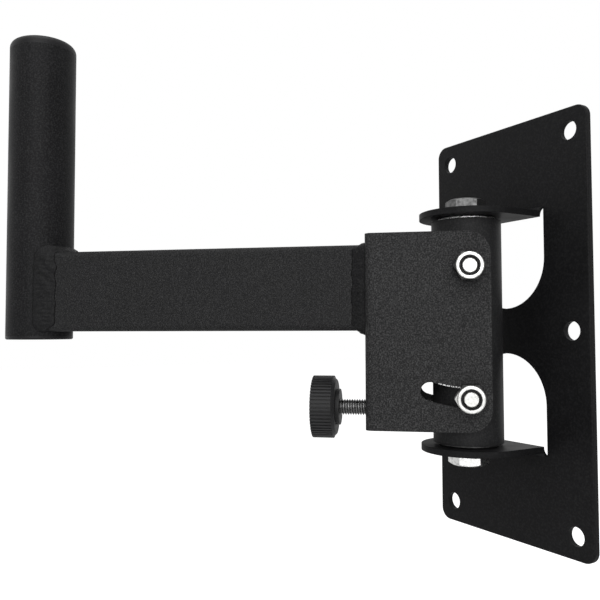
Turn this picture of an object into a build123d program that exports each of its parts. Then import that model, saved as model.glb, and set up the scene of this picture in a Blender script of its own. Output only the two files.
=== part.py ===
from build123d import *
import os
from math import cos, radians, sin, tan

os.makedirs("parts", exist_ok=True)

# Wall plate: one sheet, six screw holes, two ears pressed out of it and folded forward.
plate_width = 100.0
plate_height = 210.0
plate_sheet = 3.0
plate_corner = 6.0
plate_edge_round = 0.8
screw_hole = 9.0
hole_from_side = 10.0
hole_from_end = 11.0

# Ears. The pivot axis stands this far from the wall, just outside the centre of the round ends.
pivot_reach = 30.0
ear_round_reach = 27.7
ear_half_width = 24.5
ear_inner = 55.2
ear_bend = 2.0
shear_slit = 0.2
window_end = 11.4

# Pose in which the arm is held, swung sideways from straight out.
swing = 40.5

# Clearances.
running_fit = 0.05
loose_fit = 0.3
thrust_gap = 0.1
weld_seat = 0.02

# Upright tube that turns between the ears, with threaded end plugs.
tube_radius = 16.85
tube_wall = 3.0
tube_half = 53.8
plug_length = 16.0
washer_radius = 14.5

# Metric hardware: shank diameter, width across flats, height of head or nut.
pivot_thread = 10.0
pivot_flats = 17.0
pivot_head = 6.4
pivot_reach_in = 17.0
bolt_thread = 8.0
bolt_flats = 13.0
bolt_head = 5.3
nut_hex = 6.4
nut_height = 8.0
nut_crown_radius = 6.35
bolt_end_sunk = 0.25
bolt_end_bevel = 0.9
insert_radius = 4.8
insert_depth = 1.6
insert_sunk = 0.35

# Yoke: folded channel that straddles the tube.
yoke_sheet = 3.0
yoke_half_width = 20.6
yoke_web_face = 48.7
yoke_rear = 10.0
yoke_half_height = 47.0
yoke_bend = 3.5
yoke_rear_corner = 11.0
tilt_height = 30.0
clamp_height = -31.0
slot_width = 8.8
slot_sweep = 17.5

# Arm: rectangular tube welded to the web and coped to the pole.
arm_width = 30.0
arm_height = 42.0
arm_wall = 2.0
arm_corner = 3.0
arm_bottom = 0.3
web_weld_leg = 3.5
pole_weld_leg = 2.6

# Pole: round tube with pushed-in end caps.
pole_along = 229.0
pole_radius = 17.5
pole_wall = 2.0
pole_top = 160.2
pole_bottom = -4.0
top_cap_rim = 5.2
bottom_cap_rim = 1.8
cap_plug = 12.0

# Thumb screw through the foot of the web, pressing on the tube.
thumb_height = -38.0
knob_radius = 15.6
knob_near = 64.6
knob_far = 76.4
knob_hub_radius = 9.0
knob_hub = 1.8
knob_ridges = 54
ridge_height = 0.6
knob_bevel = 1.4
ridge_width = 0.9
screw_in_knob = 8.0
tip_gap = 0.3

ear_outer = ear_inner + plate_sheet
ear_tip = ear_round_reach + ear_half_width
fold_start = ear_outer + ear_bend
yoke_inner = yoke_half_width - yoke_sheet
web_inner = yoke_web_face - yoke_sheet
clamp_radius = tilt_height - clamp_height
along = Vector(-sin(radians(swing)), -cos(radians(swing)), 0)
across = Vector(cos(radians(swing)), -sin(radians(swing)), 0)
pivot = Vector(0, -pivot_reach, 0)


def deck(height):
    """Level plane over the pivot: local x runs along the arm, local y across it."""
    return Plane(origin=pivot + Vector(0, 0, height), x_dir=along, z_dir=(0, 0, 1))


def side(offset, height=0.0):
    """Upright plane that looks across the arm: local x along it, local y up."""
    return Plane(origin=pivot + across * offset + Vector(0, 0, height), x_dir=along, z_dir=-across)


def bolt_plane(offset, height):
    """Plane square to the cross bolts, facing the nut side."""
    return Plane(origin=pivot + across * offset + Vector(0, 0, height), x_dir=along, z_dir=across)


def end_on(distance, height=0.0):
    """Plane square to the arm, facing away from the wall: local x across, local y up."""
    return Plane(origin=pivot + along * distance + Vector(0, 0, height), x_dir=across, z_dir=along)


def hexagon(plane, flats, height):
    """Hexagon with its outer corners bevelled at thirty degrees."""
    with BuildSketch(plane) as outline:
        RegularPolygon(radius=flats / 2, side_count=6, major_radius=False)
    extrude(outline.sketch, amount=height)
    with BuildSketch(plane) as bevel:
        Circle(flats * 0.478 + height * tan(radians(60)))
    extrude(bevel.sketch, amount=height, taper=60.0, mode=Mode.INTERSECT)


def rod(plane, radius, length, mode=Mode.ADD):
    """Round bar or, when subtracted, round hole."""
    with BuildSketch(plane) as section:
        Circle(radius)
    extrude(section.sketch, amount=length, mode=mode)


# Wall plate. The ears leave round-ended windows in the sheet.
with BuildPart() as wall_plate:
    with BuildSketch(Plane.XZ):
        RectangleRounded(plate_width, plate_height, plate_corner)
    extrude(amount=plate_sheet)
    fillet(wall_plate.faces().sort_by(Axis.Y)[0].edges(), plate_edge_round)
    window_radius = ear_half_width + shear_slit
    for way in (1, -1):
        round_centre = way * (window_end + window_radius)
        with BuildSketch(Plane.XZ):
            with Locations((0, round_centre)):
                Circle(window_radius)
            with Locations((0, (round_centre + way * fold_start) / 2)):
                Rectangle(2 * window_radius, abs(fold_start - abs(round_centre)))
        extrude(amount=plate_sheet, mode=Mode.SUBTRACT)
    for way in (1, -1):
        with BuildSketch(Plane.YZ):
            with BuildLine():
                Line((0, way * fold_start), (-plate_sheet, way * fold_start))
                RadiusArc(
                    (-plate_sheet, way * fold_start),
                    (-plate_sheet - ear_bend, way * ear_outer),
                    -way * ear_bend,
                )
                Line((-plate_sheet - ear_bend, way * ear_outer), (-ear_tip, way * ear_outer))
                Line((-ear_tip, way * ear_outer), (-ear_tip, way * ear_inner))
                Line((-ear_tip, way * ear_inner), (-plate_sheet - ear_bend, way * ear_inner))
                RadiusArc(
                    (-plate_sheet - ear_bend, way * ear_inner),
                    (0, way * fold_start),
                    way * (ear_bend + plate_sheet),
                )
            make_face()
        extrude(amount=ear_half_width, both=True)
    for way in (1, -1):
        with BuildSketch(Plane.XY.offset(way * ear_inner)):
            with Locations((0, -ear_round_reach - ear_half_width)):
                Rectangle(2 * ear_half_width + 2, 2 * ear_half_width)
            with Locations((0, -ear_round_reach)):
                Circle(ear_half_width, mode=Mode.SUBTRACT)
        extrude(amount=way * plate_sheet, mode=Mode.SUBTRACT)
        rod(
            Plane(origin=(0, -pivot_reach, way * ear_inner), z_dir=(0, 0, way)),
            pivot_thread / 2 + running_fit,
            plate_sheet,
            Mode.SUBTRACT,
        )
    with BuildSketch(Plane.XZ):
        with GridLocations(
            plate_width - 2 * hole_from_side,
            plate_height / 2 - hole_from_end,
            2,
            3,
        ):
            Circle(screw_hole / 2)
    extrude(amount=plate_sheet, mode=Mode.SUBTRACT)
wall_plate.part.label = "wall_plate"
export_step(wall_plate.part, "parts/wall_plate.step")

# Swivel tube with cross holes for the tilt bolt and the clamp bolt.
with BuildPart() as swivel_tube:
    with BuildSketch(deck(-tube_half)):
        Circle(tube_radius)
        Circle(tube_radius - tube_wall, mode=Mode.SUBTRACT)
    extrude(amount=2 * tube_half)
    for height in (tilt_height, clamp_height):
        rod(
            bolt_plane(-tube_radius - 1, height),
            bolt_thread / 2 + running_fit,
            2 * tube_radius + 2,
            Mode.SUBTRACT,
        )
swivel_tube.part.label = "swivel_tube"
export_step(swivel_tube.part, "parts/swivel_tube.step")

# End plugs, thrust washers and pivot bolts: the same three pieces above and below.
for name, way in (("upper", 1), ("lower", -1)):
    outward = (0, 0, way)
    with BuildPart() as plug:
        plug_face = Plane(
            origin=(0, -pivot_reach, way * (tube_half - plug_length)),
            z_dir=outward,
        )
        with BuildSketch(plug_face):
            Circle(tube_radius - tube_wall - running_fit)
            Circle(pivot_thread / 2 + running_fit, mode=Mode.SUBTRACT)
        extrude(amount=plug_length)
    plug.part.label = name + "_plug"
    export_step(plug.part, "parts/" + name + "_plug.step")

    with BuildPart() as thrust_washer:
        with BuildSketch(Plane(origin=(0, -pivot_reach, way * tube_half), z_dir=outward)):
            Circle(washer_radius)
            Circle(pivot_thread / 2 + loose_fit, mode=Mode.SUBTRACT)
        extrude(amount=ear_inner - thrust_gap - tube_half)
        chamfer(thrust_washer.edges().filter_by(GeomType.CIRCLE).sort_by(SortBy.RADIUS)[-2:], 0.4)
    thrust_washer.part.label = name + "_thrust_washer"
    export_step(thrust_washer.part, "parts/" + name + "_thrust_washer.step")

    with BuildPart() as pivot_bolt:
        head_seat = Plane(
            origin=(0, -pivot_reach, way * (ear_outer + thrust_gap)),
            x_dir=along,
            z_dir=outward,
        )
        hexagon(head_seat, pivot_flats, pivot_head)
        rod(
            Plane(origin=head_seat.origin, x_dir=along, z_dir=(0, 0, -way)),
            pivot_thread / 2,
            plate_sheet + pivot_reach_in,
        )
    pivot_bolt.part.label = name + "_pivot_bolt"
    export_step(pivot_bolt.part, "parts/" + name + "_pivot_bolt.step")

# Cross bolts with locking nuts: the upper one is the tilt axis, the lower one clamps the slot.
nut_seat = yoke_half_width + running_fit
for name, height in (("tilt", tilt_height), ("clamp", clamp_height)):
    with BuildPart() as cross_bolt:
        far_face = Plane(
            origin=pivot - across * nut_seat + Vector(0, 0, height),
            x_dir=along,
            z_dir=-across,
        )
        hexagon(far_face, bolt_flats, bolt_head)
        rod(
            bolt_plane(-nut_seat, height),
            bolt_thread / 2,
            2 * nut_seat + nut_height - bolt_end_sunk,
        )
        chamfer(
            cross_bolt.edges().filter_by(GeomType.CIRCLE).sort_by(Axis(tuple(pivot), tuple(across)))[-1],
            bolt_end_bevel,
        )
    cross_bolt.part.label = name + "_bolt"
    export_step(cross_bolt.part, "parts/" + name + "_bolt.step")

    with BuildPart() as locking_nut:
        hexagon(bolt_plane(nut_seat, height), bolt_flats, nut_hex)
        rod(bolt_plane(nut_seat, height), nut_crown_radius, nut_height)
        crown_edge = locking_nut.edges().filter_by(GeomType.CIRCLE)
        crown_edge = crown_edge.sort_by(Axis(tuple(pivot), tuple(across)))[-1]
        fillet(crown_edge, 0.6)
        rod(
            bolt_plane(nut_seat, height),
            bolt_thread / 2 + running_fit,
            nut_height,
            Mode.SUBTRACT,
        )
        rod(
            bolt_plane(nut_seat + nut_height - insert_depth, height),
            insert_radius,
            insert_depth,
            Mode.SUBTRACT,
        )
    locking_nut.part.label = name + "_nut"
    export_step(locking_nut.part, "parts/" + name + "_nut.step")

    with BuildPart() as locking_insert:
        with BuildSketch(bolt_plane(nut_seat + nut_height - insert_depth, height)):
            Circle(insert_radius - weld_seat)
            Circle(bolt_thread / 2 + running_fit, mode=Mode.SUBTRACT)
        extrude(amount=insert_depth - insert_sunk)
    locking_insert.part.label = name + "_nut_insert"
    export_step(locking_insert.part, "parts/" + name + "_nut_insert.step")

# Yoke: channel of folded sheet, its bolt hole and arc slot cut through both flanges.
with BuildPart() as yoke:
    channel_length = yoke_web_face + yoke_rear
    with BuildSketch(deck(-yoke_half_height)):
        with Locations((yoke_web_face - channel_length / 2, 0)):
            Rectangle(channel_length, 2 * yoke_half_width)
        fillet(vertices().sort_by(Axis.X)[-2:], yoke_bend)
    extrude(amount=2 * yoke_half_height)
    with BuildSketch(deck(-yoke_half_height)):
        with Locations((web_inner - channel_length / 2, 0)):
            Rectangle(channel_length, 2 * yoke_inner)
        fillet(vertices().sort_by(Axis.X)[-2:], yoke_bend - yoke_sheet)
    extrude(amount=2 * yoke_half_height, mode=Mode.SUBTRACT)
    with BuildSketch(side(0)):
        with Locations((yoke_web_face - channel_length / 2, 0)):
            Rectangle(channel_length, 2 * yoke_half_height)
        fillet(vertices().sort_by(Axis.X)[:2], yoke_rear_corner)
    extrude(amount=yoke_half_width, both=True, mode=Mode.INTERSECT)
    with BuildSketch(side(0)):
        with BuildLine():
            slot_path = CenterArc((0, tilt_height), clamp_radius, -90, slot_sweep)
        SlotArc(arc=slot_path, height=slot_width)
        with Locations((0, tilt_height)):
            Circle(bolt_thread / 2 + running_fit)
    extrude(amount=yoke_half_width, both=True, mode=Mode.SUBTRACT)
    rod(end_on(web_inner - 1, thumb_height), bolt_thread / 2 + loose_fit, yoke_sheet + 2, Mode.SUBTRACT)
yoke.part.label = "yoke"
export_step(yoke.part, "parts/yoke.step")

# Weld nut inside the web, for the thumb screw.
with BuildPart() as weld_nut:
    hexagon(
        Plane(
            origin=pivot + along * web_inner + Vector(0, 0, thumb_height),
            x_dir=across,
            z_dir=-along,
        ),
        bolt_flats,
        nut_hex,
    )
    rod(
        end_on(web_inner - nut_height, thumb_height),
        bolt_thread / 2 + running_fit,
        nut_height,
        Mode.SUBTRACT,
    )
weld_nut.part.label = "weld_nut"
export_step(weld_nut.part, "parts/weld_nut.step")

# Arm tube, square to the web at one end and coped to the pole at the other.
arm_middle = arm_bottom + arm_height / 2
with BuildPart() as arm_tube:
    with BuildSketch(end_on(yoke_web_face, arm_middle)):
        RectangleRounded(arm_width, arm_height, arm_corner)
        RectangleRounded(
            arm_width - 2 * arm_wall,
            arm_height - 2 * arm_wall,
            arm_corner - arm_wall,
            mode=Mode.SUBTRACT,
        )
    extrude(amount=pole_along - yoke_web_face)
    with BuildSketch(deck(arm_bottom - 1)):
        with Locations((pole_along, 0)):
            Circle(pole_radius + weld_seat)
    extrude(amount=arm_height + 2, mode=Mode.SUBTRACT)
arm_tube.part.label = "arm_tube"
export_step(arm_tube.part, "parts/arm_tube.step")

# Fillet weld round the arm where it meets the web.
with BuildPart() as web_weld:
    with BuildSketch(end_on(yoke_web_face, arm_middle)):
        RectangleRounded(
            arm_width + 2 * web_weld_leg,
            arm_height + 2 * web_weld_leg,
            arm_corner + web_weld_leg,
        )
    extrude(amount=web_weld_leg, taper=44.0)
    with BuildSketch(end_on(yoke_web_face, arm_middle)):
        RectangleRounded(
            arm_width + 2 * weld_seat,
            arm_height + 2 * weld_seat,
            arm_corner + weld_seat,
        )
    extrude(amount=web_weld_leg, mode=Mode.SUBTRACT)
web_weld.part.label = "web_weld"
export_step(web_weld.part, "parts/web_weld.step")

# Fillet weld where the coped end sits on the pole.
weld_reach = pole_radius + pole_weld_leg
weld_top = arm_bottom + arm_height
with BuildPart() as pole_weld:
    pole_section = Plane(
        origin=pivot + along * pole_along,
        x_dir=-along,
        z_dir=-across,
    )
    if pole_section.y_dir.Z < 0:
        pole_section = Plane(origin=pole_section.origin, x_dir=-along, z_dir=across)
    with BuildSketch(pole_section):
        Polygon(
            (pole_radius + weld_seat, arm_bottom - pole_weld_leg),
            (weld_reach, arm_bottom),
            (weld_reach, weld_top),
            (pole_radius + weld_seat, weld_top + pole_weld_leg),
            align=None,
        )
    revolve(axis=Axis(tuple(pivot + along * pole_along), (0, 0, 1)))
    with BuildSketch(deck(arm_bottom - 2 * pole_weld_leg)):
        with Locations((pole_along - weld_reach / 2 - pole_radius * 0.36, 0)):
            Rectangle(weld_reach, arm_width + pole_weld_leg)
    extrude(amount=arm_height + 4 * pole_weld_leg, mode=Mode.INTERSECT)
    with BuildSketch(end_on(yoke_web_face, arm_middle)):
        RectangleRounded(
            arm_width + 2 * weld_seat,
            arm_height + 2 * weld_seat,
            arm_corner + weld_seat,
        )
    extrude(amount=pole_along - yoke_web_face, mode=Mode.SUBTRACT)
pole_weld.part.label = "pole_weld"
export_step(pole_weld.part, "parts/pole_weld.step")

# Pole tube.
tube_foot = pole_bottom + bottom_cap_rim
tube_head = pole_top - top_cap_rim


def over_pole(height):
    """Level plane on the pole axis."""
    return Plane(origin=pivot + along * pole_along + Vector(0, 0, height), x_dir=along, z_dir=(0, 0, 1))


with BuildPart() as pole_tube:
    with BuildSketch(over_pole(tube_foot)):
        Circle(pole_radius)
        Circle(pole_radius - pole_wall, mode=Mode.SUBTRACT)
    extrude(amount=tube_head - tube_foot)
pole_tube.part.label = "pole_tube"
export_step(pole_tube.part, "parts/pole_tube.step")

# Top cap, with a rounded rim; its plug is pushed into the tube.
with BuildPart() as pole_top_cap:
    rod(over_pole(tube_head), pole_radius, top_cap_rim)
    fillet(pole_top_cap.edges().group_by(Axis.Z)[-1], top_cap_rim - 1.2)
    rod(
        over_pole(tube_head - cap_plug),
        pole_radius - pole_wall - running_fit,
        cap_plug,
    )
pole_top_cap.part.label = "pole_top_cap"
export_step(pole_top_cap.part, "parts/pole_top_cap.step")

# Bottom cap, flat with a small bevel.
with BuildPart() as pole_bottom_cap:
    rod(over_pole(pole_bottom), pole_radius, bottom_cap_rim)
    fillet(pole_bottom_cap.edges().group_by(Axis.Z)[0], 1.0)
    rod(
        over_pole(tube_foot),
        pole_radius - pole_wall - running_fit,
        cap_plug,
    )
pole_bottom_cap.part.label = "pole_bottom_cap"
export_step(pole_bottom_cap.part, "parts/pole_bottom_cap.step")

# Thumb screw, its tip close to the tube.
with BuildPart() as thumb_screw:
    screw_tip = tube_radius + tip_gap
    rod(
        end_on(screw_tip, thumb_height),
        bolt_thread / 2,
        knob_near + screw_in_knob - screw_tip,
    )
    tip_edge = thumb_screw.edges().filter_by(GeomType.CIRCLE)
    tip_edge = tip_edge.sort_by(Axis(tuple(pivot), tuple(along)))[0]
    chamfer(tip_edge, 1.0)
thumb_screw.part.label = "thumb_screw"
export_step(thumb_screw.part, "parts/thumb_screw.step")

# Knob: ribbed rim, bevelled towards the yoke, with a hub that the screw is moulded into.
with BuildPart() as thumb_knob:
    with BuildSketch(end_on(knob_near, thumb_height)):
        Circle(knob_radius - ridge_height - knob_bevel)
    extrude(amount=knob_bevel, taper=-45.0)
    with BuildSketch(end_on(knob_near + knob_bevel, thumb_height)):
        Circle(knob_radius - ridge_height)
        with PolarLocations(knob_radius - ridge_height, knob_ridges):
            Rectangle(2 * ridge_height, ridge_width)
    extrude(amount=knob_far - knob_near - knob_bevel)
    with BuildSketch(end_on(knob_near - knob_hub, thumb_height)):
        Circle(knob_hub_radius)
    extrude(amount=knob_hub)
    rod(
        end_on(knob_near - knob_hub, thumb_height),
        bolt_thread / 2 + weld_seat,
        knob_hub + screw_in_knob,
        Mode.SUBTRACT,
    )
thumb_knob.part.label = "thumb_knob"
export_step(thumb_knob.part, "parts/thumb_knob.step")
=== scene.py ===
from math import asin, cos, pi, radians, sin

import bmesh
import bpy
from mathutils import Matrix, Vector, noise


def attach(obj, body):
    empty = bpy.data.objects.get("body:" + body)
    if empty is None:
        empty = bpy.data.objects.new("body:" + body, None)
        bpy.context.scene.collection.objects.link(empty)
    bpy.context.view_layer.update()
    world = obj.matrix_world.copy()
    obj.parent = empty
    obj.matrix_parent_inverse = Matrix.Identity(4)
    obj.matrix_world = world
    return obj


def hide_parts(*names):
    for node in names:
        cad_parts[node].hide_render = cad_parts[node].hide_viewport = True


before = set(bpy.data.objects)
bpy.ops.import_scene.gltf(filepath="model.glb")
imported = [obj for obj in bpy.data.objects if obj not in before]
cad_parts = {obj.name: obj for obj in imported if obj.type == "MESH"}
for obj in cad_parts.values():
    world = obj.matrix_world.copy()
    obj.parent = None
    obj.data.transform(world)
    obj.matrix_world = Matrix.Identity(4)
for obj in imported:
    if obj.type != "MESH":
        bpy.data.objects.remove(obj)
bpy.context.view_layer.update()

# The wall plate is one sheet of steel, punched with six screw holes, with both ears
# pressed out of it and folded forward. It is powder coated black, fairly smooth.
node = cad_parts


def powder_coat(name, colour, gloss, grain, height, fleck, shine):
    """Baked powder paint: an orange peel of the given grain and height, a slow drift of
    tone and gloss, small bright flecks, and softly rounded edges."""
    paint = bpy.data.materials.new(name)
    paint.use_nodes = True
    tree = paint.node_tree
    shader = tree.nodes["Principled BSDF"]
    shader.inputs["Specular IOR Level"].default_value = shine
    place = tree.nodes.new("ShaderNodeTexCoord")

    peel = tree.nodes.new("ShaderNodeTexNoise")
    peel.inputs["Scale"].default_value = 1.0 / grain
    peel.inputs["Detail"].default_value = 3.0
    tree.links.new(place.outputs["Object"], peel.inputs["Vector"])

    drift = tree.nodes.new("ShaderNodeTexNoise")
    drift.inputs["Scale"].default_value = 28.0
    drift.inputs["Detail"].default_value = 4.0
    tree.links.new(place.outputs["Object"], drift.inputs["Vector"])

    specks = tree.nodes.new("ShaderNodeTexNoise")
    specks.inputs["Scale"].default_value = 1.3 / grain
    specks.inputs["Detail"].default_value = 1.0
    tree.links.new(place.outputs["Object"], specks.inputs["Vector"])
    caught = tree.nodes.new("ShaderNodeValToRGB")
    caught.color_ramp.elements[0].position = 0.42
    caught.color_ramp.elements[0].color = (0, 0, 0, 1)
    caught.color_ramp.elements[1].position = 0.78
    caught.color_ramp.elements[1].color = (1, 1, 1, 1)
    tree.links.new(specks.outputs["Fac"], caught.inputs["Fac"])

    tone = tree.nodes.new("ShaderNodeValToRGB")
    tone.color_ramp.elements[0].position = 0.32
    tone.color_ramp.elements[0].color = (*[c * 0.78 for c in colour], 1)
    tone.color_ramp.elements[1].position = 0.70
    tone.color_ramp.elements[1].color = (*[c * 1.25 for c in colour], 1)
    tree.links.new(drift.outputs["Fac"], tone.inputs["Fac"])

    flecked = tree.nodes.new("ShaderNodeMix")
    flecked.data_type = "RGBA"
    flecked.blend_type = "ADD"
    flecked.inputs["Factor"].default_value = fleck
    tree.links.new(tone.outputs["Color"], flecked.inputs["A"])
    tree.links.new(caught.outputs["Color"], flecked.inputs["B"])
    tree.links.new(flecked.outputs["Result"], shader.inputs["Base Color"])

    rough = tree.nodes.new("ShaderNodeMapRange")
    rough.inputs["From Min"].default_value = 0.3
    rough.inputs["From Max"].default_value = 0.7
    rough.inputs["To Min"].default_value = gloss - 0.07
    rough.inputs["To Max"].default_value = gloss + 0.09
    tree.links.new(drift.outputs["Fac"], rough.inputs["Value"])
    tree.links.new(rough.outputs["Result"], shader.inputs["Roughness"])

    soft_edge = tree.nodes.new("ShaderNodeBevel")
    soft_edge.samples = 4
    soft_edge.inputs["Radius"].default_value = 0.0005
    skin = tree.nodes.new("ShaderNodeBump")
    skin.inputs["Strength"].default_value = 0.6
    skin.inputs["Distance"].default_value = height
    tree.links.new(peel.outputs["Fac"], skin.inputs["Height"])
    tree.links.new(soft_edge.outputs["Normal"], skin.inputs["Normal"])
    tree.links.new(skin.outputs["Normal"], shader.inputs["Normal"])
    return paint


def finish(name, material):
    """Gives every surface of a piece the same finish."""
    piece = node[name]
    for held in piece.material_slots:
        held.material = material


plate_paint = powder_coat(
    "plate_paint", (0.0048, 0.0048, 0.0052), gloss=0.50, grain=0.0011, height=0.00006, fleck=0.006, shine=0.08
)
finish("wall_plate", plate_paint)

# The upright tube turns between the ears and hides the threaded plugs that the two end bolts
# are screwed into. It has the plate's black coat, made a shade lighter than the plate: painted light.
tube_paint_painted_light = powder_coat(
    "tube_paint_painted_light", (0.0080, 0.0080, 0.0085), gloss=0.52, grain=0.0010, height=0.00008, fleck=0.012, shine=0.14
)
finish("swivel_tube", tube_paint_painted_light)


# The thrust washers, the end bolts and the cross bolts with their locking nuts are steel,
# plated with bright zinc. The upper end bolt and the lower washer get a darker copy of the
# zinc as painted shade, and the upper washer and the lower end bolt a brighter copy as painted highlight.
def plated(name, colour, gloss):
    """Zinc plating: bright, slightly uneven, with a faint cloudy bloom."""
    metal = bpy.data.materials.new(name)
    metal.use_nodes = True
    tree = metal.node_tree
    shader = tree.nodes["Principled BSDF"]
    shader.inputs["Metallic"].default_value = 1.0
    place = tree.nodes.new("ShaderNodeTexCoord")
    bloom = tree.nodes.new("ShaderNodeTexNoise")
    bloom.inputs["Scale"].default_value = 620.0
    bloom.inputs["Detail"].default_value = 5.0
    tree.links.new(place.outputs["Object"], bloom.inputs["Vector"])
    tone = tree.nodes.new("ShaderNodeValToRGB")
    tone.color_ramp.elements[0].position = 0.30
    tone.color_ramp.elements[0].color = (*[c * 0.55 for c in colour], 1)
    tone.color_ramp.elements[1].position = 0.66
    tone.color_ramp.elements[1].color = (*colour, 1)
    tree.links.new(bloom.outputs["Fac"], tone.inputs["Fac"])
    tree.links.new(tone.outputs["Color"], shader.inputs["Base Color"])
    rough = tree.nodes.new("ShaderNodeMapRange")
    rough.inputs["From Min"].default_value = 0.3
    rough.inputs["From Max"].default_value = 0.7
    rough.inputs["To Min"].default_value = gloss + 0.12
    rough.inputs["To Max"].default_value = gloss - 0.05
    tree.links.new(bloom.outputs["Fac"], rough.inputs["Value"])
    tree.links.new(rough.outputs["Result"], shader.inputs["Roughness"])
    scuffs = tree.nodes.new("ShaderNodeTexNoise")
    scuffs.inputs["Scale"].default_value = 900.0
    scuffs.inputs["Detail"].default_value = 2.0
    tree.links.new(place.outputs["Object"], scuffs.inputs["Vector"])
    soft_edge = tree.nodes.new("ShaderNodeBevel")
    soft_edge.samples = 4
    soft_edge.inputs["Radius"].default_value = 0.00035
    skin = tree.nodes.new("ShaderNodeBump")
    skin.inputs["Strength"].default_value = 0.25
    skin.inputs["Distance"].default_value = 0.00003
    tree.links.new(scuffs.outputs["Fac"], skin.inputs["Height"])
    tree.links.new(soft_edge.outputs["Normal"], skin.inputs["Normal"])
    tree.links.new(skin.outputs["Normal"], shader.inputs["Normal"])
    return metal


bright_zinc = plated("bright_zinc", (0.66, 0.66, 0.64), 0.30)
# A darker copy of the zinc: painted shade.
zinc_painted_shade = plated("zinc_painted_shade", (0.13, 0.13, 0.13), 0.45)
for name in ("upper_plug", "lower_plug"):
    finish(name, bright_zinc)
for name in ("tilt_bolt", "clamp_bolt"):
    finish(name, bright_zinc)
for name in ("upper_pivot_bolt", "lower_thrust_washer"):
    finish(name, zinc_painted_shade)
# A brighter copy of the zinc: painted highlight.
zinc_painted_highlight = plated("zinc_painted_highlight", (0.97, 0.97, 0.96), 0.26)
for name in ("upper_thrust_washer", "lower_pivot_bolt"):
    finish(name, zinc_painted_highlight)

# Each locking nut is one forging: a hexagon, and a thin crown that is rolled over a black nylon
# ring. The crown shows the bright zinc; the hexagon is painted dark, a painted reflection of dark
# surroundings.
swing = radians(40.5)
along = Vector((-sin(swing), -cos(swing), 0))
across = Vector((cos(swing), -sin(swing), 0))
upward = Vector((0, 0, 1))
pivot = Vector((0, -0.030, 0))
crown_starts = 0.0272
crown_edge = 0.0001
# Painted reflection: the dark that the hexagon's faces would reflect from their surroundings.
hexagon_painted_dark = (0.045, 0.045, 0.045, 1)
nut_zinc = plated("nut_zinc", (0.74, 0.74, 0.72), 0.28)
tree = nut_zinc.node_tree
shader = tree.nodes["Principled BSDF"]
rolled = shader.inputs["Base Color"].links[0].from_socket
place = tree.nodes.new("ShaderNodeTexCoord")
outward = tree.nodes.new("ShaderNodeVectorMath")
outward.operation = "DOT_PRODUCT"
outward.inputs[1].default_value = across
tree.links.new(place.outputs["Object"], outward.inputs[0])
crown = tree.nodes.new("ShaderNodeMapRange")
crown.inputs["From Min"].default_value = crown_starts + pivot.dot(across) - crown_edge
crown.inputs["From Max"].default_value = crown_starts + pivot.dot(across) + crown_edge
tree.links.new(outward.outputs["Value"], crown.inputs["Value"])
crown_and_painted_dark_hexagon = tree.nodes.new("ShaderNodeMix")
crown_and_painted_dark_hexagon.data_type = "RGBA"
crown_and_painted_dark_hexagon.inputs["A"].default_value = hexagon_painted_dark
tree.links.new(crown.outputs["Result"], crown_and_painted_dark_hexagon.inputs["Factor"])
tree.links.new(rolled, crown_and_painted_dark_hexagon.inputs["B"])
tree.links.new(crown_and_painted_dark_hexagon.outputs["Result"], shader.inputs["Base Color"])
finish("tilt_nut", nut_zinc)

# On the lower nut the hexagon's painted dark stops short of the corner that points along the
# arm, so that corner shows the bright zinc as a painted highlight.
highlight_starts = 0.0052
highlight_full = 0.0058
nut_zinc_painted_highlight = nut_zinc.copy()
nut_zinc_painted_highlight.name = "nut_zinc_painted_highlight"
tree = nut_zinc_painted_highlight.node_tree
place = tree.nodes.new("ShaderNodeTexCoord")
corner_way = tree.nodes.new("ShaderNodeVectorMath")
corner_way.operation = "DOT_PRODUCT"
corner_way.inputs[1].default_value = along
tree.links.new(place.outputs["Object"], corner_way.inputs[0])
# Painted highlight on the hexagon's corner that points along the arm.
corner_highlight = tree.nodes.new("ShaderNodeMapRange")
corner_highlight.inputs["From Min"].default_value = pivot.dot(along) + highlight_starts
corner_highlight.inputs["From Max"].default_value = pivot.dot(along) + highlight_full
tree.links.new(corner_way.outputs["Value"], corner_highlight.inputs["Value"])
hexagon_dark_and_highlight = tree.nodes.new("ShaderNodeMix")
hexagon_dark_and_highlight.data_type = "RGBA"
hexagon_dark_and_highlight.inputs["A"].default_value = hexagon_painted_dark
hexagon_dark_and_highlight.inputs["B"].default_value = (0.74, 0.74, 0.72, 1)
tree.links.new(corner_highlight.outputs["Result"], hexagon_dark_and_highlight.inputs["Factor"])
for joined in tree.nodes:
    if joined.bl_idname == "ShaderNodeMix" and joined != hexagon_dark_and_highlight:
        tree.links.new(hexagon_dark_and_highlight.outputs["Result"], joined.inputs["A"])
finish("clamp_nut", nut_zinc_painted_highlight)

# The yoke is a folded channel with the arc slot in both flanges; the square arm tube and
# its welds are coated with it in one go, in a textured black that is coarser on the yoke.
arm_paint = powder_coat(
    "arm_paint", (0.0052, 0.0052, 0.0056), gloss=0.60, grain=0.0007, height=0.00016, fleck=0.026, shine=0.12
)
for name in ("weld_nut", "arm_tube"):
    finish(name, arm_paint)

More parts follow.
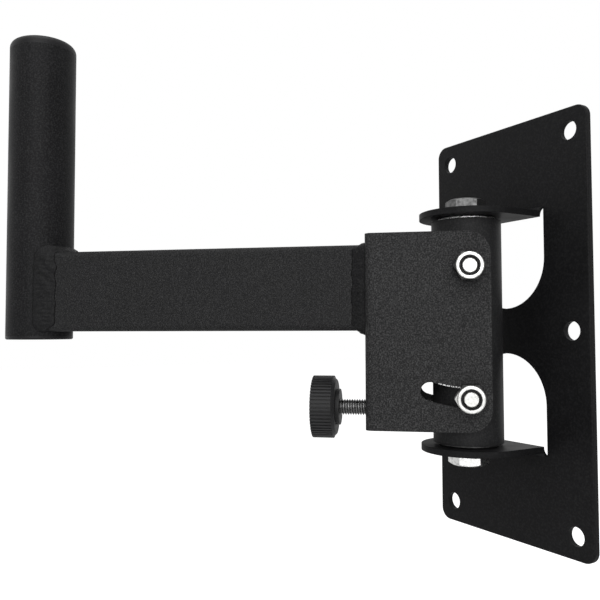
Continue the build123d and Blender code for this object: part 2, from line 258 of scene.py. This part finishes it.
# The yoke has the same coat, only coarser. Beside the locking nut, the arc slot's upper edge is
# painted in small patches of bright metal: a painted highlight where the edge catches the light.
yoke_paint_painted_highlight = powder_coat(
    "yoke_paint", (0.0062, 0.0062, 0.0066), gloss=0.60, grain=0.0008, height=0.00022, fleck=0.042, shine=0.14
)
tree = yoke_paint_painted_highlight.node_tree
shader = tree.nodes["Principled BSDF"]
slot_radius = 0.061
slot_half_width = 0.0044
highlight_half_width = 0.0006
highlight_middle = 0.0095
highlight_half_length = 0.0050
patch_share = 0.47
tilt_axis = pivot + Vector((0, 0, 0.030))
coat = shader.inputs["Base Color"].links[0].from_socket
place = tree.nodes.new("ShaderNodeTexCoord")
from_axis = tree.nodes.new("ShaderNodeVectorMath")
from_axis.operation = "SUBTRACT"
from_axis.inputs[1].default_value = tilt_axis
tree.links.new(place.outputs["Object"], from_axis.inputs[0])
flat = tree.nodes.new("ShaderNodeVectorMath")
flat.operation = "CROSS_PRODUCT"
flat.inputs[1].default_value = across
tree.links.new(from_axis.outputs["Vector"], flat.inputs[0])
reach = tree.nodes.new("ShaderNodeVectorMath")
reach.operation = "LENGTH"
tree.links.new(flat.outputs["Vector"], reach.inputs[0])
off_edge = tree.nodes.new("ShaderNodeMath")
off_edge.operation = "COMPARE"
off_edge.inputs[1].default_value = slot_radius - slot_half_width
off_edge.inputs[2].default_value = highlight_half_width
tree.links.new(reach.outputs["Value"], off_edge.inputs[0])
forward_of = tree.nodes.new("ShaderNodeVectorMath")
forward_of.operation = "DOT_PRODUCT"
forward_of.inputs[1].default_value = along
tree.links.new(from_axis.outputs["Vector"], forward_of.inputs[0])
span = tree.nodes.new("ShaderNodeMath")
span.operation = "COMPARE"
span.inputs[1].default_value = highlight_middle
span.inputs[2].default_value = highlight_half_length
tree.links.new(forward_of.outputs["Value"], span.inputs[0])
patchy = tree.nodes.new("ShaderNodeTexNoise")
patchy.inputs["Scale"].default_value = 1500.0
tree.links.new(place.outputs["Object"], patchy.inputs["Vector"])
highlight_patches = tree.nodes.new("ShaderNodeMath")
highlight_patches.operation = "GREATER_THAN"
highlight_patches.inputs[1].default_value = patch_share
tree.links.new(patchy.outputs["Fac"], highlight_patches.inputs[0])
both_ways = tree.nodes.new("ShaderNodeMath")
both_ways.operation = "MULTIPLY"
tree.links.new(off_edge.outputs["Value"], both_ways.inputs[0])
tree.links.new(span.outputs["Value"], both_ways.inputs[1])
painted_highlight = tree.nodes.new("ShaderNodeMath")
painted_highlight.operation = "MULTIPLY"
tree.links.new(both_ways.outputs["Value"], painted_highlight.inputs[0])
tree.links.new(highlight_patches.outputs["Value"], painted_highlight.inputs[1])
# Painted highlight: bright metal patches along the slot's upper edge.
highlight_mix = tree.nodes.new("ShaderNodeMix")
highlight_mix.data_type = "RGBA"
highlight_mix.inputs["B"].default_value = (0.5, 0.5, 0.5, 1)
tree.links.new(painted_highlight.outputs["Value"], highlight_mix.inputs["Factor"])
tree.links.new(coat, highlight_mix.inputs["A"])
tree.links.new(highlight_mix.outputs["Result"], shader.inputs["Base Color"])
tree.links.new(painted_highlight.outputs["Value"], shader.inputs["Metallic"])
finish("yoke", yoke_paint_painted_highlight)
# The arm is held by two fillet welds, laid by hand in short overlapping runs and coated
# over with the arm. The one at the yoke goes all round and is fattest underneath; the one
# at the pole goes up both sides and over the top.
arm_half_width = 0.0150
arm_foot = 0.0003
arm_head = 0.0423
arm_corner = 0.0030
web_face = 0.0487
pole_distance = 0.2290
pole_radius = 0.0175
weld_seat = 0.00002
ring_spacing = 0.0004
run_length = 0.0021
points_across = 11
toe_wave = 0.0035
broad_lump = 0.0024
small_lump = 0.0011
lump_height = 0.00085
end_taper = 0.005
# The welds have the arm's coat made darker: painted shade for the shadowed recess at each joint.
weld_paint_painted_shade = powder_coat(
    "weld_paint_painted_shade", (0.0040, 0.0040, 0.0044), gloss=0.52, grain=0.0008, height=0.00016, fleck=0.012, shine=0.10
)


def round_the_arm(all_round):
    """Points round the arm with their outward directions, from under one side to the other."""
    middle = (arm_foot + arm_head) / 2
    flat_half_width = arm_half_width - arm_corner
    flat_half_height = (arm_head - arm_foot) / 2 - arm_corner
    outline = []
    corners = ((1, -1, -90), (1, 1, 0), (-1, 1, 90), (-1, -1, 180))
    for side, level, begin in corners:
        steps = int(arm_corner * pi / 2 / ring_spacing)
        first = steps // 2 if not all_round and begin == -90 else 0
        last = steps // 2 if not all_round and begin == 180 else steps
        for step in range(first, last + 1):
            angle = radians(begin + 90 * step / steps)
            sideways = side * flat_half_width + arm_corner * cos(angle)
            height = middle + level * flat_half_height + arm_corner * sin(angle)
            outline.append((sideways, height, cos(angle), sin(angle)))
        if begin == 180 and not all_round:
            break
        out_side, out_level = cos(radians(begin + 90)), sin(radians(begin + 90))
        run = 2 * (flat_half_height if abs(out_side) > 0.5 else flat_half_width)
        steps = int(run / ring_spacing)
        start_side, start_height = outline[-1][0], outline[-1][1]
        for step in range(1, steps):
            gone = run * step / steps
            outline.append(
                (start_side - out_level * gone, start_height + out_side * gone, out_side, out_level)
            )
    return outline


def at_web(sideways, height, out_side, out_level, on_arm, on_web):
    """Spot beside the seam at the yoke's web, in distance along, across and up."""
    return Vector(
        (
            web_face + weld_seat + on_arm,
            sideways + out_side * (weld_seat + on_web),
            height + out_level * (weld_seat + on_web),
        )
    )


def at_pole(sideways, height, out_side, out_level, on_arm, on_pole):
    """Spot beside the seam at the round pole, in distance along, across and up."""
    radius = pole_radius + weld_seat
    angle = asin(sideways / radius) + out_side * on_pole / radius
    return Vector(
        (
            pole_distance - radius * cos(angle) - on_arm,
            radius * sin(angle) if on_pole else sideways + out_side * weld_seat,
            height + out_level * (weld_seat + on_pole),
        )
    )


def smooth_piece(name, mesh_name, vertices, faces, crease, material):
    """A closed piece that is shaded round, except where faces meet more sharply than crease."""
    mesh = bpy.data.meshes.new(mesh_name)
    mesh.from_pydata(vertices, [], faces)
    mesh.validate()
    shell = bmesh.new()
    shell.from_mesh(mesh)
    bmesh.ops.recalc_face_normals(shell, faces=shell.faces)
    shell.to_mesh(mesh)
    shell.free()
    mesh.shade_smooth()
    mesh.set_sharp_from_angle(angle=radians(crease))
    mesh.materials.append(material)
    piece = bpy.data.objects.new(name, mesh)
    bpy.context.scene.collection.objects.link(piece)
    return piece


def laid_weld(name, all_round, spot, legs, crown_height):
    """A bead between arm and neighbour: rippled run by run, lumpy, and thin at its open ends."""
    outline = round_the_arm(all_round)
    rings = []
    whole = len(outline) * ring_spacing
    runs = round(whole / run_length)
    for number, (sideways, height, out_side, out_level) in enumerate(outline):
        gone = number * ring_spacing
        seam = spot(sideways, height, out_side, out_level, 0.0, 0.0)
        wobble = 1 + 0.14 * noise.noise(seam / toe_wave)
        if not all_round:
            wobble *= min(1.0, 0.45 + min(gone, whole - gone) / end_taper)
        arm_leg, other_leg = legs(out_level)
        arm_toe = spot(sideways, height, out_side, out_level, arm_leg * wobble, 0.0)
        other_toe = spot(sideways, height, out_side, out_level, 0.0, other_leg * wobble)
        chord = (other_toe - arm_toe).normalized()
        outward = chord.cross(Vector((0, -out_level, out_side))).normalized()
        if outward.dot((arm_toe + other_toe) / 2 - seam) < 0:
            outward = -outward
        ring = []
        for point in range(points_across):
            share = point / (points_across - 1)
            arch = sin(pi * share)
            base = arm_toe.lerp(other_toe, share)
            ripple = 0.10 * sin(2 * pi * runs * gone / whole - 2.4 * arch)
            lumps = 0.70 * noise.noise(base / broad_lump) + 0.30 * noise.noise(base / small_lump)
            ring.append(base + outward * arch * (crown_height + lump_height * (ripple + lumps)))
        ring.append(seam)
        rings.append(ring)
    vertices = []
    for ring in rings:
        for reach, sideways, height in ring:
            vertices.append(pivot + along * reach + across * sideways + upward * height)
    wide = points_across + 1
    faces = []
    for number in range(len(rings) if all_round else len(rings) - 1):
        here, after = number * wide, (number + 1) % len(rings) * wide
        for point in range(wide):
            beside = (point + 1) % wide
            faces.append((here + point, here + beside, after + beside, after + point))
    if not all_round:
        faces.append(tuple(range(wide)))
        faces.append(tuple(range(len(vertices) - 1, len(vertices) - 1 - wide, -1)))
    return smooth_piece(name, name, vertices, faces, 60, weld_paint_painted_shade)


def web_legs(out_level):
    """Leg on the arm and leg on the web: long at the sides, shorter below, least on top."""
    level = out_level**2
    arm_leg = 0.0066 * (1 - level) + (0.0031 - 0.0011 * out_level) * level
    web_leg = 0.0030 * (1 - level) + (0.0017 - 0.0007 * out_level) * level
    return arm_leg, web_leg


def pole_legs(out_level):
    """Leg on the arm and leg on the pole: the bead is broadest on the sides."""
    return 0.0085 - 0.0040 * out_level**2, 0.0040


web_weld = laid_weld("web_weld_bead", True, at_web, web_legs, 0.00012)
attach(web_weld, "yoke_arm")
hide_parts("web_weld")
pole_weld = laid_weld("pole_weld_bead", False, at_pole, pole_legs, 0.00030)
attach(pole_weld, "yoke_arm")
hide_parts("pole_weld")

# The pole is drawn steel tube, coated smoother and darker than the arm, so that a speaker
# socket slides over it. A plastic plug with a rounded rim closes each end.
pole_paint = powder_coat(
    "pole_paint", (0.0055, 0.0055, 0.006), gloss=0.46, grain=0.0010, height=0.00008, fleck=0.014, shine=0.07
)
finish("pole_tube", pole_paint)


def moulded(name, colour, gloss):
    """Moulded black plastic with a fine spark-eroded skin."""
    plastic = bpy.data.materials.new(name)
    plastic.use_nodes = True
    tree = plastic.node_tree
    shader = tree.nodes["Principled BSDF"]
    shader.inputs["Specular IOR Level"].default_value = 0.16
    place = tree.nodes.new("ShaderNodeTexCoord")
    skin_noise = tree.nodes.new("ShaderNodeTexNoise")
    skin_noise.inputs["Scale"].default_value = 1400.0
    skin_noise.inputs["Detail"].default_value = 2.0
    tree.links.new(place.outputs["Object"], skin_noise.inputs["Vector"])
    rubbed = tree.nodes.new("ShaderNodeTexNoise")
    rubbed.inputs["Scale"].default_value = 70.0
    rubbed.inputs["Detail"].default_value = 4.0
    tree.links.new(place.outputs["Object"], rubbed.inputs["Vector"])
    tone = tree.nodes.new("ShaderNodeValToRGB")
    tone.color_ramp.elements[0].position = 0.3
    tone.color_ramp.elements[0].color = (*[c * 0.8 for c in colour], 1)
    tone.color_ramp.elements[1].position = 0.7
    tone.color_ramp.elements[1].color = (*[c * 1.3 for c in colour], 1)
    tree.links.new(rubbed.outputs["Fac"], tone.inputs["Fac"])
    tree.links.new(tone.outputs["Color"], shader.inputs["Base Color"])
    rough = tree.nodes.new("ShaderNodeMapRange")
    rough.inputs["From Min"].default_value = 0.3
    rough.inputs["From Max"].default_value = 0.7
    rough.inputs["To Min"].default_value = gloss - 0.06
    rough.inputs["To Max"].default_value = gloss + 0.08
    tree.links.new(rubbed.outputs["Fac"], rough.inputs["Value"])
    tree.links.new(rough.outputs["Result"], shader.inputs["Roughness"])
    skin = tree.nodes.new("ShaderNodeBump")
    skin.inputs["Strength"].default_value = 0.35
    skin.inputs["Distance"].default_value = 0.00005
    tree.links.new(skin_noise.outputs["Fac"], skin.inputs["Height"])
    tree.links.new(skin.outputs["Normal"], shader.inputs["Normal"])
    return plastic


cap_plastic = moulded("cap_plastic", (0.006, 0.006, 0.0065), 0.44)
finish("pole_top_cap", cap_plastic)
finish("pole_bottom_cap", cap_plastic)
for name in ("tilt_nut_insert", "clamp_nut_insert"):
    finish(name, cap_plastic)

# The thumb screw is an M8 screw, dark steel with a rolled thread along its whole length.
# It passes through the weld nut in the web, and its tip presses on the upright tube.
screw_axis = Vector((0, -0.030, -0.038))
screw_start = 0.01715
screw_end = 0.0665
thread_pitch = 0.00125
thread_outer = 0.0040
thread_root = 0.00333
tip_taper = 0.0012
core_gap = 0.00003
steps_per_turn = 40
turns = (screw_end - screw_start) / thread_pitch
flank = ((0.00, 0.0), (0.18, 0.0), (0.44, 1.0), (0.56, 1.0), (0.82, 0.0))


def around_screw(reach, radius, step):
    """Spot at a distance along the screw, on one of the directions that make a turn."""
    angle = 2 * pi * step / steps_per_turn
    return screw_axis + along * reach + across * (radius * cos(angle)) + upward * (radius * sin(angle))


count = int(turns * steps_per_turn)
vertices = []
for step in range(count + 1):
    base = screw_start + thread_pitch * (step / steps_per_turn - 1)
    for share, rise in flank:
        reach = base + share * thread_pitch
        near_tip = min(1.0, max(0.0, (reach - screw_start) / tip_taper))
        radius = thread_root + (thread_outer - thread_root) * rise * near_tip
        vertices.append(around_screw(max(reach, screw_start), radius, step))
wide = len(flank)
faces = []
for step in range(count):
    for column in range(wide - 1):
        first = step * wide + column
        faces.append((first, first + 1, first + wide + 1, first + wide))
    last = step * wide + wide - 1
    following = (step + steps_per_turn) * wide
    if following + wide < len(vertices):
        faces.append((last, following, following + wide, last + wide))
tip_ring = len(vertices)
for step in range(steps_per_turn):
    vertices.append(around_screw(screw_start, thread_root, step))
faces.append(tuple(range(tip_ring + steps_per_turn - 1, tip_ring - 1, -1)))
core = len(vertices)
for reach in (screw_start, screw_end):
    for step in range(steps_per_turn):
        vertices.append(around_screw(reach, thread_root - core_gap, step))
for step in range(steps_per_turn):
    after = (step + 1) % steps_per_turn
    far = core + steps_per_turn
    faces.append((core + step, core + after, far + after, far + step))
screw_steel = plated("screw_steel", (0.15, 0.15, 0.15), 0.24)
thumb_screw = smooth_piece("thumb_screw_threaded", "thumb_screw_thread", vertices, faces, 35, screw_steel)
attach(thumb_screw, "thumb")
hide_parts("thumb_screw")

# The knob is moulded on the end of the screw: black plastic with straight ribs round its
# rim for grip and a short hub towards the yoke.
knob_plastic = moulded("knob_plastic", (0.017, 0.017, 0.0175), 0.46)
finish("thumb_knob", knob_plastic)

# Studio: a pale floor well below the bracket with a painted glow that only the camera sees,
# weak near the bracket so that its soft shadow shows and strong further out so that it turns
# to white; white surroundings, one large soft lamp in front and to the right, a weak one on
# the left and a small one above.
floor_level = -0.32
floor_reach = 6.0
shadow_reach = 0.30
pale_reach = 0.60
floor_mesh = bpy.data.meshes.new("studio_floor")
floor_corners = [
    (-floor_reach, -floor_reach, floor_level),
    (floor_reach, -floor_reach, floor_level),
    (floor_reach, floor_reach, floor_level),
    (-floor_reach, floor_reach, floor_level),
]
floor_mesh.from_pydata(floor_corners, [], [(0, 1, 2, 3)])
floor = bpy.data.objects.new("studio_floor", floor_mesh)
bpy.context.scene.collection.objects.link(floor)
floor_card = bpy.data.materials.new("studio_floor")
floor_card.use_nodes = True
card = floor_card.node_tree
card_shader = card.nodes["Principled BSDF"]
card_shader.inputs["Base Color"].default_value = (0.92, 0.92, 0.92, 1)
card_shader.inputs["Roughness"].default_value = 0.9
card_shader.inputs["Specular IOR Level"].default_value = 0.0
seen = card.nodes.new("ShaderNodeLightPath")
# Painted glow, seen only by the camera, rising with distance from the bracket.
painted_glow = card.nodes.new("ShaderNodeEmission")
floor_place = card.nodes.new("ShaderNodeNewGeometry")
from_middle = card.nodes.new("ShaderNodeVectorMath")
from_middle.operation = "LENGTH"
card.links.new(floor_place.outputs["Position"], from_middle.inputs[0])
painted_glow_by_distance = card.nodes.new("ShaderNodeMapRange")
painted_glow_by_distance.inputs["From Min"].default_value = shadow_reach
painted_glow_by_distance.inputs["From Max"].default_value = pale_reach
painted_glow_by_distance.inputs["To Min"].default_value = 0.09
painted_glow_by_distance.inputs["To Max"].default_value = 0.58
card.links.new(from_middle.outputs["Value"], painted_glow_by_distance.inputs["Value"])
card.links.new(painted_glow_by_distance.outputs["Result"], painted_glow.inputs["Strength"])
mixed = card.nodes.new("ShaderNodeAddShader")
card_out = card.nodes["Material Output"]
chosen = card.nodes.new("ShaderNodeMixShader")
card.links.new(card_shader.outputs["BSDF"], mixed.inputs[0])
card.links.new(painted_glow.outputs["Emission"], mixed.inputs[1])
card.links.new(seen.outputs["Is Camera Ray"], chosen.inputs[0])
card.links.new(card_shader.outputs["BSDF"], chosen.inputs[1])
card.links.new(mixed.outputs["Shader"], chosen.inputs[2])
card.links.new(chosen.outputs["Shader"], card_out.inputs["Surface"])
floor_mesh.materials.append(floor_card)

lamp_plan = (
    ("key_lamp", (1.05, -0.78, 0.50), 1.3, 14.0),
    ("fill_lamp", (-0.95, -0.75, 0.30), 0.9, 0.8),
    ("top_lamp", (0.10, -0.35, 1.20), 0.7, 5.0),
)
lamp_aim = Vector((-0.04, -0.10, 0.02))
for name, place, size, power in lamp_plan:
    light = bpy.data.lights.new(name, "AREA")
    light.size = size
    light.energy = power
    lamp = bpy.data.objects.new(name, light)
    lamp.location = place
    lamp.rotation_euler = (lamp_aim - Vector(place)).to_track_quat("-Z", "Y").to_euler()
    bpy.context.scene.collection.objects.link(lamp)

surroundings = bpy.data.worlds.new("studio")
surroundings.use_nodes = True
sky = surroundings.node_tree
plain = sky.nodes["Background"]
plain.inputs["Color"].default_value = (1, 1, 1, 1)
plain.inputs["Strength"].default_value = 0.55
white = sky.nodes.new("ShaderNodeBackground")
white.inputs["Color"].default_value = (1, 1, 1, 1)
white.inputs["Strength"].default_value = 1.0
path = sky.nodes.new("ShaderNodeLightPath")
either = sky.nodes.new("ShaderNodeMath")
either.operation = "MAXIMUM"
also = sky.nodes.new("ShaderNodeMath")
also.operation = "MAXIMUM"
choice = sky.nodes.new("ShaderNodeMixShader")
sky.links.new(path.outputs["Is Camera Ray"], either.inputs[0])
sky.links.new(path.outputs["Is Glossy Ray"], either.inputs[1])
sky.links.new(either.outputs["Value"], also.inputs[0])
sky.links.new(path.outputs["Is Transmission Ray"], also.inputs[1])
sky.links.new(also.outputs["Value"], choice.inputs[0])
sky.links.new(plain.outputs["Background"], choice.inputs[1])
sky.links.new(white.outputs["Background"], choice.inputs[2])
sky.links.new(choice.outputs["Shader"], sky.nodes["World Output"].inputs["Surface"])
bpy.context.scene.world = surroundings
bpy.context.scene.view_settings.view_transform = "Standard"

# The camera stands at the height of the plate's middle, to the right of the plate and near
# it, and looks slightly up, so the arm runs across the picture and the plate is steep.
sensor_width = 36.0
focal_share = 698.4 / 600
camera_place = (0.25531, -0.27511, -0.00002)
camera_data = bpy.data.cameras.new("camera")
camera_data.sensor_width = sensor_width
camera_data.lens = focal_share * sensor_width
camera = bpy.data.objects.new("camera", camera_data)
turn, rise, roll = radians(30.395), radians(2.582), radians(-0.136)
forward = Vector((-cos(turn) * cos(rise), sin(turn) * cos(rise), sin(rise)))
right = Vector((sin(turn), cos(turn), 0))
over = right.cross(forward)
right_rolled = right * cos(roll) + over * sin(roll)
over_rolled = over * cos(roll) - right * sin(roll)
camera.matrix_world = Matrix.Translation(camera_place) @ Matrix(
    (
        (right_rolled.x, over_rolled.x, -forward.x, 0),
        (right_rolled.y, over_rolled.y, -forward.y, 0),
        (right_rolled.z, over_rolled.z, -forward.z, 0),
        (0, 0, 0, 1),
    )
)
camera_data.clip_start = 0.01
bpy.context.scene.collection.objects.link(camera)
bpy.context.scene.camera = camera
